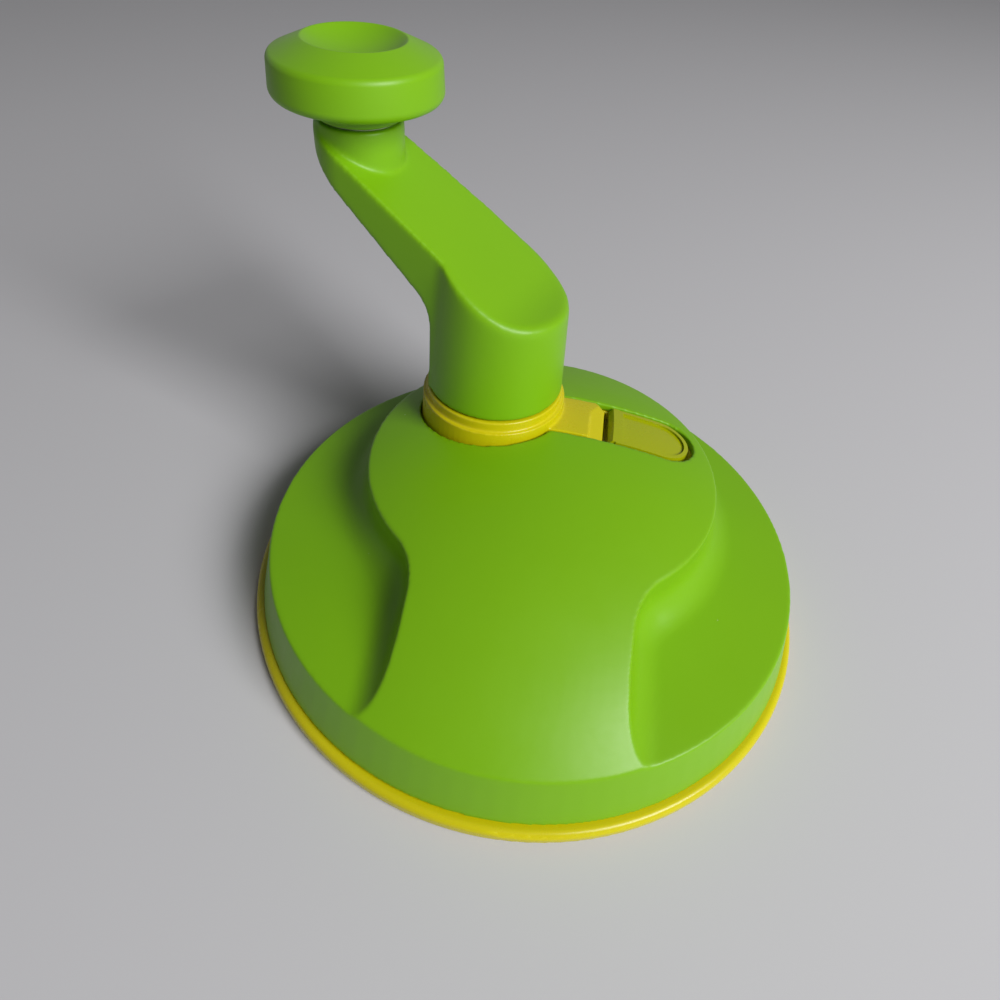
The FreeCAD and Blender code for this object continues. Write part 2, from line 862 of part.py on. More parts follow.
def crank_blank():
    """Outside form of boss, arm and socket, with the arm along +X."""
    slim = math.tan(math.radians(boss_draft)) * (sky - boss_bottom)
    boss = turned([(0, boss_bottom), (boss_radius, boss_bottom), (boss_radius - slim, sky), (0, sky)])
    end_at = crank_throw + socket_radius - arm_end_half_width
    lean = math.asin((arm_root_half_width - arm_end_half_width) / end_at)
    root = (arm_root_half_width * math.sin(lean), arm_root_half_width * math.cos(lean))
    end = (end_at + arm_end_half_width * math.sin(lean), arm_end_half_width * math.cos(lean))
    arm = prism([(root[0], -root[1]), (end[0], -end[1]), end, root], boss_bottom, sky)
    arm = arm.fuse(disc(arm_end_half_width, boss_bottom, sky, (end_at, 0))).removeSplitter()
    body = boss.fuse(arm).removeSplitter()

    def corner(box):
        upright = box.ZLength > 0.9 * (sky - boss_bottom)
        return upright and abs(box.Center.x) < boss_radius and abs(box.Center.y) > boss_radius / 2

    body = body.makeFillet(arm_root_blend, pick(body.Edges, corner))
    under = crank_under()
    over = crank_over()
    body = body.cut(under).cut(over).removeSplitter()
    tops = []
    for edge in body.Edges:
        box = edge.BoundBox
        across = box.XLength < 0.01 and box.ZLength < 0.01
        if not across and all(over.distToShape(Part.Vertex(point))[0] < 0.01 for point in edge.discretize(4)):
            tops.append(edge)
    body = body.makeFillet(arm_edge_round, tops)
    socket = disc(socket_radius, 0, socket_top, (crank_throw, 0)).cut(under)
    lip = pick(socket.Edges, lambda box: box.ZLength < 0.01 and box.ZMin > socket_top - 0.01)
    return body.fuse(socket.makeFillet(socket_lip_round, lip)).removeSplitter()


def crank():
    """Green crank: round boss, sloping arm and the socket for the knob."""
    cavity = disc(boss_radius - boss_wall, 0, sky)
    roof_space = crank_over()
    roof_space.translate(V(0, 0, -boss_roof))
    cavity = cavity.cut(roof_space)
    hub = shaft_hex / 2 / math.cos(math.pi / 6) + crank_hub_wall
    keep = [disc(hub, crank_hub_bottom, sky)]
    for i in range(boss_rib_count):
        half = boss_rib_thickness / 2
        rib = prism(
            [(0, -half), (boss_radius, -half), (boss_radius, half), (0, half)],
            crank_hub_bottom + boss_rib_rise,
            sky,
        )
        keep.append(place(rib, (0, 0), 360.0 / boss_rib_count * i))
    for shape in keep:
        cavity = cavity.cut(shape)
    body = crank_blank().cut(cavity)
    turn = crank_azimuth + 180 - arm_azimuth
    body = body.cut(hexagon(shaft_hex + 2 * running_clearance, 0, shaft_top + end_play, (0, 0), turn))
    body = body.cut(disc(screw_radius + thread_gap, shaft_top - 1, shaft_top + screw_bite))
    at = (crank_throw, 0)
    body = body.cut(disc(socket_bore, socket_floor, sky, at))
    body = body.cut(disc(knob_screw_radius + seat_clearance, 0, sky, at))
    body = body.cut(disc(knob_recess_radius, 0, socket_floor - socket_floor_thickness, at))
    return place(body, crank_at, arm_azimuth)


# Knob
def knob():
    """Round dished knob with its neck and the stub that turns in the socket."""
    stub = socket_bore - running_clearance
    shape = turned(
        [
            (0, socket_floor + joint_gap),
            (stub, socket_floor + joint_gap),
            (stub, friction_top),
            (neck_radius, friction_top),
            (neck_radius, knob_bottom),
            (knob_radius, knob_bottom),
            (knob_radius - knob_draft, knob_top_edge),
            (dish_radius, knob_top),
            (0, knob_top),
        ]
    )
    dish_ball = (dish_radius ** 2 + dish_depth ** 2) / (2 * dish_depth)
    shape = shape.cut(Part.makeSphere(dish_ball, V(0, 0, knob_top - dish_depth + dish_ball)))
    shape = shape.cut(disc(knob_thread_radius + thread_gap, 0, socket_floor + joint_gap + knob_screw_bite))
    foot = pick(shape.Edges, lambda box: box.ZLength < 0.01 and abs(box.XMax - knob_radius) < 0.01)
    shape = shape.makeFillet(knob_foot_round, foot)
    top = pick(shape.Edges, lambda box: box.ZLength < 0.01 and abs(box.ZMax - knob_top_edge) < 0.01)
    shape = shape.makeFillet(knob_top_round, top)
    return place(shape, knob_at, 0)


def friction_washer():
    """Thin washer between the knob's neck and the socket."""
    outer = socket_bore + running_clearance + friction_washer_width
    return ring(outer, socket_bore, socket_top, friction_top - face_gap, knob_at)


def knob_screw():
    """Shoulder screw that holds the knob from below."""
    seat = socket_floor - socket_floor_thickness - washer_thickness
    shoulder_top = socket_floor + joint_gap
    head = disc(knob_screw_head_radius, seat - knob_screw_head_height, seat, knob_at)
    shoulder = disc(knob_screw_radius, seat, shoulder_top, knob_at)
    shank = disc(knob_thread_radius, shoulder_top, shoulder_top + knob_screw_bite - screw_tip_gap, knob_at)
    return union([head, shoulder, shank])


def knob_washer():
    """Washer under the shoulder screw's head."""
    high = socket_floor - socket_floor_thickness
    bore = knob_screw_radius + running_clearance
    return ring(knob_washer_radius, bore, high - washer_thickness, high - face_gap, knob_at)


# Gear case plate
def gear_case_plate():
    """White plate that closes the gear case from below."""
    radius = upstand_radius(plate_top) - frame_wall - seat_clearance
    boss_radius_low = pinion_bush_radius + plate_boss_wall
    body = disc(radius, plate_bottom, plate_top)
    body = body.fuse(disc(boss_radius_low, plate_bottom, plate_top + plate_boss_height))
    recess_radius = driver_radius + driver_recess_gap
    body = body.fuse(disc(recess_radius + plate_thickness, plate_bottom, driver_roof + plate_thickness))
    half = plate_rib_thickness / 2
    rib_end = radius - plate_rib_inset
    for i in range(plate_rib_count):
        plan = [(0, -half), (rib_end, -half), (rib_end, half), (0, half)]
        rib = prism(plan, plate_top, plate_top + plate_rib_height)
        body = body.fuse(place(rib, (0, 0), 360.0 / plate_rib_count * (i + 0.5)))
    body = body.cut(disc(recess_radius, plate_bottom - 1, driver_roof))
    body = body.cut(disc(pinion_bush_radius, plate_bottom - 1, sky))
    gap = chute_wall + seat_clearance
    tube_room = oblong(chute_start_x - gap, chute_end_x() + gap, chute_half_width + gap, plate_top, sky)
    body = body.cut(tube_room)
    body = body.cut(oblong(chute_start_x, chute_end_x(), chute_half_width, 0, sky))
    for at in case_screw_places():
        body = body.cut(disc(case_boss_radius + seat_clearance, plate_top, sky, at))
        body = body.cut(disc(case_screw_radius + thread_clearance, plate_bottom - 1, sky, at))
    return body.removeSplitter()


def case_screws():
    """Five equal screws that hold the plate to the dome's bosses."""
    screws = []
    tip = plate_top + case_screw_length - screw_tip_gap
    for at in case_screw_places():
        head = disc(case_screw_head_radius, plate_bottom - case_screw_head_height, plate_bottom, at)
        shank = disc(case_screw_radius - thread_gap, plate_bottom, tip, at)
        screws.append(union([head, shank]))
    return Part.makeCompound(screws)


nodes = {
    "dome_cover": dome_cover,
    "rim_frame": rim_frame,
    "bowl_seal": bowl_seal,
    "collar_frame": collar_frame,
    "filler_flap": filler_flap,
    "flap_pin": flap_pin,
    "gear_case_plate": gear_case_plate,
    "case_screws": case_screws,
    "crank": crank,
    "crank_shaft": crank_shaft,
    "shaft_bush_upper": shaft_bush_upper,
    "shaft_bush_lower": shaft_bush_lower,
    "thrust_washer": thrust_washer,
    "drive_gear": drive_gear,
    "crank_washer": crank_washer,
    "crank_screw": crank_screw,
    "output_pinion": output_pinion,
    "pinion_bush_upper": pinion_bush_upper,
    "pinion_bush_lower": pinion_bush_lower,
    "blade_driver": blade_driver,
    "driver_screw": driver_screw,
    "knob": knob,
    "friction_washer": friction_washer,
    "knob_screw": knob_screw,
    "knob_washer": knob_washer,
}

os.makedirs("parts", exist_ok=True)
for name, build in nodes.items():
    shape = build()
    shape.exportStep("parts/" + name + ".step")
    print(name, len(shape.Solids), round(shape.Volume, 1), shape.isValid())
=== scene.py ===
import json
import logging
import math
from dataclasses import dataclass
from enum import Enum

import bmesh
import bpy
from mathutils import Matrix, Vector

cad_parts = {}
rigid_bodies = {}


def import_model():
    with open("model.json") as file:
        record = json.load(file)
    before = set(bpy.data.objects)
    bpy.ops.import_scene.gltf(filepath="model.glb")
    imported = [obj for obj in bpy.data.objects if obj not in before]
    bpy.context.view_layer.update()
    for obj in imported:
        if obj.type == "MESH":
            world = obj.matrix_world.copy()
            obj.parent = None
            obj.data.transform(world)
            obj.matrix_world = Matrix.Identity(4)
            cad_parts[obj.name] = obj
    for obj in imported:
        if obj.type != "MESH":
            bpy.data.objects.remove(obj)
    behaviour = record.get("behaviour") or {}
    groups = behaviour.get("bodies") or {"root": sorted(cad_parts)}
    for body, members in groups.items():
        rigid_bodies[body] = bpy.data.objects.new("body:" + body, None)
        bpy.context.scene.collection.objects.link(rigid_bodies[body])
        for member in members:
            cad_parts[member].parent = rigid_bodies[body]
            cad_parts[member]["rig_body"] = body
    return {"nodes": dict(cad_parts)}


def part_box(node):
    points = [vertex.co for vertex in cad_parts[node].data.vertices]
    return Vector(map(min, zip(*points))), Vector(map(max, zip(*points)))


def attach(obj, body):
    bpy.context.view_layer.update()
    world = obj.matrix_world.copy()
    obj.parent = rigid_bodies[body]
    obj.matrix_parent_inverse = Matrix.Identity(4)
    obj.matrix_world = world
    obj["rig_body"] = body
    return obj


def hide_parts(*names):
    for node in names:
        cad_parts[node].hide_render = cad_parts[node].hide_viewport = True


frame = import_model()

# Crank food chopper cover: satin lime green mouldings over a lemon yellow frame.
# Metres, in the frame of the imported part: origin at the centre of the rim, +Z up, the ridge along Y.

LOG = logging.getLogger("chopper_cover")
MM = 0.001
# Pull of one smoothing pass, and the distance under which mesh points are one, in metres.
RELAX_FACTOR = 0.5
WELD = 1e-6
# A wave texture turns through this many radians per unit at scale 1.
WAVE_RADIANS = 20


def linear(hex_colour: str) -> tuple[float, float, float, float]:
    """Turn an sRGB hex colour to linear light.

    Args:
        hex_colour: Six hex digits, such as "7cb518".

    Returns:
        Linear red, green, blue and an alpha of 1.
    """
    channels = []
    for start in (0, 2, 4):
        value = int(hex_colour[start : start + 2], 16) / 255
        channels.append(value / 12.92 if value <= 0.04045 else ((value + 0.055) / 1.055) ** 2.4)
    return (*channels, 1.0)


def add_node(
    tree: bpy.types.NodeTree,
    kind: str,
    links: dict[str | int, bpy.types.NodeSocket] | None = None,
    values: dict[str | int, object] | None = None,
    **settings: object,
) -> bpy.types.Node:
    """Add a shader node with its settings, input values and links.

    Args:
        tree: Node tree that takes the node.
        kind: Blender's type name of the node.
        links: Input name or number to the output that feeds it.
        values: Input name or number to a constant.
        settings: Properties of the node itself.

    Returns:
        The new node.
    """
    node = tree.nodes.new(kind)
    for name, value in settings.items():
        setattr(node, name, value)
    for key, value in (values or {}).items():
        node.inputs[key].default_value = value
    for key, output in (links or {}).items():
        tree.links.new(output, node.inputs[key])
    return node


def new_material(name: str) -> tuple[bpy.types.Material, bpy.types.NodeTree]:
    """Make an empty node material.

    Args:
        name: Name of the material.

    Returns:
        The material and its node tree, with no nodes in it.
    """
    material = bpy.data.materials.new(name)
    material.use_nodes = True
    material.node_tree.nodes.clear()
    return material, material.node_tree


class Lustre(Enum):
    """How smooth the mould that formed a surface was."""

    POLISHED = 0.26
    SATIN = 0.38
    MATT = 0.52


@dataclass(frozen=True)
class MouldedPlastic:
    """Coloured ABS or acetal, injection moulded in a fine spark-finished tool.

    The eye sees one even colour, a soft broad highlight, a faint grain close up, and after some
    use a few light specks of dust and hairline scuffs.
    """

    name: str
    colour: str
    shade: str
    lustre: Lustre
    grain_mm: float = 0.35
    grain_height_mm: float = 0.006
    flow_mm: float = 60.0
    speck_mm: float = 5.0
    speck_amount: float = 0.55
    scuff_mm: float = 14.0
    translucence: float = 0.06
    dust_colour: str = "e8ead8"
    dusty_cells: tuple[float, float] = (0.965, 0.975)
    dust_size: tuple[float, float] = (0.05, 0.025)
    scuff_noise: tuple[float, float] = (0.3, 0.7)
    scuff_change: tuple[float, float] = (-0.03, 0.05)
    bleed: tuple[float, float, float] = (0.6, 1.0, 0.25)
    bleed_mm: float = 1.2

    def build(self) -> bpy.types.Material:
        """Make the material.

        Returns:
            The finished material.
        """
        material, tree = new_material(self.name)
        place = add_node(tree, "ShaderNodeTexCoord").outputs["Object"]
        flow = add_node(
            tree,
            "ShaderNodeTexNoise",
            {"Vector": place},
            {"Scale": 1 / (self.flow_mm * MM), "Detail": 2.0, "Roughness": 0.5},
        )
        tint = add_node(
            tree,
            "ShaderNodeMix",
            {"Factor": flow.outputs["Fac"]},
            {"A": linear(self.shade), "B": linear(self.colour)},
            data_type="RGBA",
        )
        cells = add_node(
            tree,
            "ShaderNodeTexVoronoi",
            {"Vector": place},
            {"Scale": 1 / (self.speck_mm * MM), "Randomness": 1.0},
        )
        chance = add_node(
            tree, "ShaderNodeSeparateColor", {"Color": cells.outputs["Color"]}
        )
        rare = add_node(
            tree,
            "ShaderNodeMapRange",
            {"Value": chance.outputs["Red"]},
            {"From Min": self.dusty_cells[0], "From Max": self.dusty_cells[1]},
        )
        dot = add_node(
            tree,
            "ShaderNodeMapRange",
            {"Value": cells.outputs["Distance"]},
            {"From Min": self.dust_size[0], "From Max": self.dust_size[1]},
        )
        speck = add_node(
            tree,
            "ShaderNodeMath",
            {0: rare.outputs["Result"], 1: dot.outputs["Result"]},
            operation="MULTIPLY",
        )
        dusty = add_node(
            tree,
            "ShaderNodeMath",
            {0: speck.outputs["Value"]},
            {1: self.speck_amount},
            operation="MULTIPLY",
        )
        colour = add_node(
            tree,
            "ShaderNodeMix",
            {"Factor": dusty.outputs["Value"], "A": tint.outputs["Result"]},
            {"B": linear(self.dust_colour)},
            data_type="RGBA",
        )
        scuff = add_node(
            tree,
            "ShaderNodeTexNoise",
            {"Vector": place},
            {"Scale": 1 / (self.scuff_mm * MM), "Detail": 6.0, "Roughness": 0.65},
        )
        roughness = add_node(
            tree,
            "ShaderNodeMapRange",
            {"Value": scuff.outputs["Fac"]},
            {
                "From Min": self.scuff_noise[0],
                "From Max": self.scuff_noise[1],
                "To Min": self.lustre.value + self.scuff_change[0],
                "To Max": self.lustre.value + self.scuff_change[1],
            },
        )
        grain = add_node(
            tree,
            "ShaderNodeTexNoise",
            {"Vector": place},
            {"Scale": 1 / (self.grain_mm * MM), "Detail": 3.0, "Roughness": 0.6},
        )
        bump = add_node(
            tree,
            "ShaderNodeBump",
            {"Height": grain.outputs["Fac"]},
            {"Strength": 1.0, "Distance": self.grain_height_mm * MM},
        )
        shader = add_node(
            tree,
            "ShaderNodeBsdfPrincipled",
            {
                "Base Color": colour.outputs["Result"],
                "Roughness": roughness.outputs["Result"],
                "Normal": bump.outputs["Normal"],
            },
            {
                "IOR": 1.5,
                "Specular IOR Level": 0.32,
                "Subsurface Weight": self.translucence,
                "Subsurface Radius": self.bleed,
                "Subsurface Scale": self.bleed_mm * MM,
            },
        )
        add_node(tree, "ShaderNodeOutputMaterial", {"Surface": shader.outputs["BSDF"]})
        return material


@dataclass(frozen=True)
class TurnedSteel:
    """Stainless steel, turned on a lathe: fine rings round the axis that stretch the highlight."""

    name: str
    colour: str
    ring_mm: float = 1.5708
    ring_height_mm: float = 0.004
    cloud_mm: float = 6.0
    smoothness: tuple[float, float] = (0.22, 0.36)

    def build(self) -> bpy.types.Material:
        """Make the material.

        Returns:
            The finished material.
        """
        material, tree = new_material(self.name)
        place = add_node(tree, "ShaderNodeTexCoord").outputs["Object"]
        rings = add_node(
            tree,
            "ShaderNodeTexWave",
            {"Vector": place},
            {
                "Scale": math.tau / (WAVE_RADIANS * self.ring_mm * MM),
                "Distortion": 0.4,
                "Detail": 2.0,
            },
            wave_type="BANDS",
            bands_direction="Z",
        )
        cloud = add_node(
            tree,
            "ShaderNodeTexNoise",
            {"Vector": place},
            {"Scale": 1 / (self.cloud_mm * MM), "Detail": 4.0},
        )
        roughness = add_node(
            tree,
            "ShaderNodeMapRange",
            {"Value": cloud.outputs["Fac"]},
            {"To Min": self.smoothness[0], "To Max": self.smoothness[1]},
        )
        bump = add_node(
            tree,
            "ShaderNodeBump",
            {"Height": rings.outputs["Fac"]},
            {"Strength": 0.6, "Distance": self.ring_height_mm * MM},
        )
        shader = add_node(
            tree,
            "ShaderNodeBsdfPrincipled",
            {"Roughness": roughness.outputs["Result"], "Normal": bump.outputs["Normal"]},
            {"Base Color": linear(self.colour), "Metallic": 1.0},
        )
        add_node(tree, "ShaderNodeOutputMaterial", {"Surface": shader.outputs["BSDF"]})
        return material


@dataclass(frozen=True)
class CastSilicone:
    """Translucent silicone rubber, cast: milky, soft highlight, light comes through thin lips."""

    name: str
    colour: str
    bloom_colour: str = "f2f4ee"
    cloud_mm: float = 8.0
    bleed_mm: float = 2.0

    def build(self) -> bpy.types.Material:
        """Make the material.

        Returns:
            The finished material.
        """
        material, tree = new_material(self.name)
        place = add_node(tree, "ShaderNodeTexCoord").outputs["Object"]
        cloud = add_node(
            tree,
            "ShaderNodeTexNoise",
            {"Vector": place},
            {"Scale": 1 / (self.cloud_mm * MM), "Detail": 3.0},
        )
        colour = add_node(
            tree,
            "ShaderNodeMix",
            {"Factor": cloud.outputs["Fac"]},
            {"A": linear(self.colour), "B": linear(self.bloom_colour)},
            data_type="RGBA",
        )
        shader = add_node(
            tree,
            "ShaderNodeBsdfPrincipled",
            {"Base Color": colour.outputs["Result"]},
            {
                "Roughness": 0.42,
                "IOR": 1.41,
                "Subsurface Weight": 0.5,
                "Subsurface Radius": (1.0, 1.0, 1.0),
                "Subsurface Scale": self.bleed_mm * MM,
            },
        )
        add_node(tree, "ShaderNodeOutputMaterial", {"Surface": shader.outputs["BSDF"]})
        return material


class Finish(Enum):
    """The finishes of the cover, named as a maker would order them."""

    LIME_ABS = MouldedPlastic("lime_green_moulded_abs", "78af0a", "70a608", Lustre.SATIN)
    LEMON_ABS = MouldedPlastic("lemon_yellow_moulded_abs", "c8be0a", "beb408", Lustre.POLISHED)
    OLIVE_ABS = MouldedPlastic("olive_yellow_moulded_abs", "a5ae04", "9ba402", Lustre.POLISHED)
    WHITE_ACETAL = MouldedPlastic(
        "white_moulded_acetal", "e6e3d9", "dcd9cd", Lustre.MATT, translucence=0.2
    )
    WHITE_PLATE = MouldedPlastic("white_moulded_plate", "e9e9e4", "dededa", Lustre.MATT)
    SILICONE = CastSilicone("clear_cast_silicone", "dfe3df")
    STEEL = TurnedSteel("stainless_turned_steel", "b4b4b2")


class FinishShop:
    """Makes each finish once and puts it on pieces."""

    def __init__(self) -> None:
        """Start with no finish made."""
        self.made: dict[Finish, bpy.types.Material] = {}

    def dress(self, piece: bpy.types.Object, finish: Finish) -> None:
        """Give a piece one finish all over.

        Args:
            piece: The object to dress.
            finish: The finish that it gets.
        """
        if finish not in self.made:
            self.made[finish] = finish.value.build()
        piece.data.materials.clear()
        piece.data.materials.append(self.made[finish])


def bake(piece: bpy.types.Object) -> None:
    """Turn a piece's modifiers into plain mesh.

    Args:
        piece: The object to bake.
    """
    bpy.context.view_layer.update()
    graph = bpy.context.evaluated_depsgraph_get()
    baked = bpy.data.meshes.new_from_object(piece.evaluated_get(graph))
    piece.modifiers.clear()
    piece.data = baked


def add_piece(name: str, mesh: bpy.types.Mesh) -> bpy.types.Object:
    """Put a mesh in the scene as an object.

    Args:
        name: Name of the object.
        mesh: Its mesh.

    Returns:
        The object.
    """
    piece = bpy.data.objects.new(name, mesh)
    bpy.context.scene.collection.objects.link(piece)
    return piece


def soften(piece: bpy.types.Object, cell_mm: float, passes: int) -> None:
    """Round all edges of a piece, as a mould tool rounds them.

    Args:
        piece: The object to round.
        cell_mm: Size of the mesh cells.
        passes: How often the mesh is relaxed; the radius grows with its root.
    """
    remesh = piece.modifiers.new("even_mesh", "REMESH")
    remesh.mode = "VOXEL"
    remesh.voxel_size = cell_mm * MM
    remesh.use_smooth_shade = True
    relax = piece.modifiers.new("round_edges", "SMOOTH")
    relax.factor = RELAX_FACTOR
    relax.iterations = passes
    bake(piece)


def stand_for(piece: bpy.types.Object, node: str) -> None:
    """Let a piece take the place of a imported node, on the same body.

    Args:
        piece: The piece that is shown.
        node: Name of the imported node.
    """
    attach(piece, frame["nodes"][node]["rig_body"])
    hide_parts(node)
    LOG.info("%s: %d faces", piece.name, len(piece.data.polygons))


def softened(node: str, name: str, cell_mm: float, passes: int) -> bpy.types.Object:
    """Copy a packed moulding with its sharp edges rounded off.

    Args:
        node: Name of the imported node.
        name: Name of the new piece.
        cell_mm: Size of the mesh cells.
        passes: How often the mesh is relaxed.

    Returns:
        The new piece, in the node's place.
    """
    piece = add_piece(name, frame["nodes"][node].data.copy())
    soften(piece, cell_mm, passes)
    stand_for(piece, node)
    return piece


def carve(piece: bpy.types.Object, tool: bpy.types.Object, operation: str = "DIFFERENCE") -> None:
    """Cut a piece with another solid, which is used up.

    Args:
        piece: The object that stays.
        tool: The solid that cuts it, joins it or limits it.
        operation: Blender's name of the cut.
    """
    cut = piece.modifiers.new("carve", "BOOLEAN")
    cut.operation = operation
    cut.solver = "EXACT"
    cut.object = tool
    bake(piece)
    bpy.data.objects.remove(tool)


def rings_mesh(name: str, rings: list[list[Vector]]) -> bpy.types.Mesh:
    """Skin closed rings of equal length into one solid with flat ends.

    Args:
        name: Name of the mesh.
        rings: Rings of points in metres, anticlockwise from above, from the lowest up.

    Returns:
        The closed mesh.
    """
    form = bmesh.new()
    made = [[form.verts.new(point) for point in ring] for ring in rings]
    count = len(rings[0])
    for low, high in zip(made, made[1:]):
        for i in range(count):
            j = (i + 1) % count
            form.faces.new((low[i], low[j], high[j], high[i]))
    form.faces.new(list(reversed(made[0])))
    form.faces.new(made[-1])
    mesh = bpy.data.meshes.new(name)
    form.to_mesh(mesh)
    form.free()
    return mesh


def rounded(corners: list[tuple[float, float, float]], steps: int) -> list[tuple[float, float]]:
    """Turn corners with radii into a smooth line of points.

    Args:
        corners: Across, height and corner radius of each corner, in mm.
        steps: Points on each arc.

    Returns:
        The points of the line, in mm.
    """
    line: list[tuple[float, float]] = []
    for i, (x, y, radius) in enumerate(corners):
        corner = Vector((x, y))
        if radius <= 0 or i in (0, len(corners) - 1):
            line.append((x, y))
            continue
        back = (Vector(corners[i - 1][:2]) - corner).normalized()
        ahead = (Vector(corners[i + 1][:2]) - corner).normalized()
        half = back.angle(ahead) / 2
        centre = corner + (back + ahead).normalized() * radius / math.sin(half)
        start = corner + back * radius / math.tan(half) - centre
        sweep = start.angle_signed(corner + ahead * radius / math.tan(half) - centre)
        for step in range(steps + 1):
            turn = -sweep * step / steps
            spoke = Vector(
                (
                    start.x * math.cos(turn) - start.y * math.sin(turn),
                    start.x * math.sin(turn) + start.y * math.cos(turn),
                )
            )
            line.append(tuple(centre + spoke))
    return line


def lathe(
    name: str,
    profile: list[tuple[float, float]],
    axis: tuple[float, float],
    segments: int = 128,
    crease_deg: float = 40.0,
) -> bpy.types.Object:
    """Turn a profile round an upright axis.

    Args:
        name: Name of the object.
        profile: Radius and height of the points in mm, from the axis at the bottom to the axis
            at the top, with the solid on its left.
        axis: Place of the axis in mm.
        segments: Steps of the turn.
        crease_deg: Edges that bend more than this stay sharp.

    Returns:
        The turned solid.
    """
    form = bmesh.new()
    middle = Vector((*axis, 0.0))
    columns = []
    for step in range(segments):
        angle = math.tau * step / segments
        way = Vector((math.cos(angle), math.sin(angle), 0.0))
        columns.append(
            [form.verts.new((middle + way * r + Vector((0, 0, z))) * MM) for r, z in profile[1:-1]]
        )
    low = form.verts.new((middle + Vector((0, 0, profile[0][1]))) * MM)
    high = form.verts.new((middle + Vector((0, 0, profile[-1][1]))) * MM)
    for here, there in zip(columns, columns[1:] + columns[:1]):
        form.faces.new((low, there[0], here[0]))
        for i in range(len(here) - 1):
            form.faces.new((here[i], there[i], there[i + 1], here[i + 1]))
        form.faces.new((high, here[-1], there[-1]))
    for face in form.faces:
        face.smooth = True
    bmesh.ops.recalc_face_normals(form, faces=form.faces)
    mesh = bpy.data.meshes.new(name)
    form.to_mesh(mesh)
    form.free()
    mesh.set_sharp_from_angle(angle=math.radians(crease_deg))
    return add_piece(name, mesh)


def middle_of(node: str) -> tuple[float, float]:
    """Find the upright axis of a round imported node.

    Args:
        node: Name of the node.

    Returns:
        Its place in mm.
    """
    low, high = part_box(node)
    return (low[0] + high[0]) / 2 / MM, (low[1] + high[1]) / 2 / MM


def bottom_of(node: str) -> float:
    """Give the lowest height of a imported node.

    Args:
        node: Name of the node.

    Returns:
        The height in mm.
    """
    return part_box(node)[0][2] / MM


def top_of(node: str) -> float:
    """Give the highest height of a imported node.

    Args:
        node: Name of the node.

    Returns:
        The height in mm.
    """
    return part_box(node)[1][2] / MM


@dataclass(frozen=True)
class CrossRecess:
    """A tapered cross for a screwdriver, cut into a screw's head from below."""

    reach_mm: float = 2.3
    width_mm: float = 0.95
    depth_mm: float = 1.5
    tip_reach_mm: float = 0.9
    tip_width_mm: float = 0.5
    turn_deg: float = 20.0
    run_out_mm: float = 0.5

    def outline(self, reach: float, width: float) -> list[tuple[float, float]]:
        """Give the plan of a cross.

        Args:
            reach: Length of an arm from the middle, in mm.
            width: Width of an arm, in mm.

        Returns:
            Its twelve corners, anticlockwise.
        """
        half = width / 2
        quarter = [(reach, -half), (reach, half), (half, half)]
        points = []
        for step in range(4):
            turn = math.radians(self.turn_deg + 90 * step)
            for x, y in quarter:
                points.append(
                    (x * math.cos(turn) - y * math.sin(turn), x * math.sin(turn) + y * math.cos(turn))
                )
        return points

    def tool(self, at: tuple[float, float], face: float) -> bpy.types.Object:
        """Make the cutting solid for one head.

        Args:
            at: Middle of the head in mm.
            face: Height of the head's lower face in mm.

        Returns:
            The cutting solid.
        """
        rings = []
        for level, reach, width in (
            (face - self.run_out_mm, self.reach_mm, self.width_mm),
            (face, self.reach_mm, self.width_mm),
            (face + self.depth_mm, self.tip_reach_mm, self.tip_width_mm),
        ):
            rings.append(
                [
                    Vector((at[0] + x, at[1] + y, level)) * MM
                    for x, y in self.outline(reach, width)
                ]
            )
        return add_piece("cross_tool", rings_mesh("cross_tool", rings))

    def cut(self, node: str, places: list[tuple[float, float]]) -> bpy.types.Object:
        """Copy a node of screws and cut a cross into each head.

        Args:
            node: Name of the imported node.
            places: Middles of the heads in mm.

        Returns:
            The new piece, in the node's place.
        """
        piece = add_piece(f"{node}_driven", frame["nodes"][node].data.copy())
        for at in places:
            carve(piece, self.tool(at, bottom_of(node)))
        stand_for(piece, node)
        return piece


def head_places(node: str) -> list[tuple[float, float]]:
    """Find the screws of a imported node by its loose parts.

    Args:
        node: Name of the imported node.

    Returns:
        The middle of each screw in mm.
    """
    form = bmesh.new()
    form.from_mesh(frame["nodes"][node].data)
    bmesh.ops.remove_doubles(form, verts=form.verts, dist=WELD)
    places = []
    left = set(form.verts)
    while left:
        front = [left.pop()]
        island = []
        while front:
            vert = front.pop()
            island.append(vert.co.copy())
            for edge in vert.link_edges:
                other = edge.other_vert(vert)
                if other in left:
                    left.remove(other)
                    front.append(other)
        spans = [(min(p[i] for p in island), max(p[i] for p in island)) for i in (0, 1)]
        places.append(tuple(sum(span) / 2 / MM for span in spans))
    form.free()
    return sorted(places)


@dataclass
class DomeShell:
    """The green dome with its grips, and the yellow rim frame under it."""

    edge_cell_mm: float = 0.55
    edge_passes: int = 5

    def build(self, shop: FinishShop) -> None:
        """Dress the dome and what is fixed under it.

        Args:
            shop: Source of the finishes.
        """
        dome = softened("dome_cover", "dome_skin", self.edge_cell_mm, self.edge_passes)
        shop.dress(dome, Finish.LIME_ABS)
        shop.dress(frame["nodes"]["rim_frame"], Finish.LEMON_ABS)
        shop.dress(frame["nodes"]["bowl_seal"], Finish.SILICONE)
        shop.dress(frame["nodes"]["gear_case_plate"], Finish.WHITE_PLATE)
        screws = CrossRecess().cut("case_screws", head_places("case_screws"))
        shop.dress(screws, Finish.STEEL)


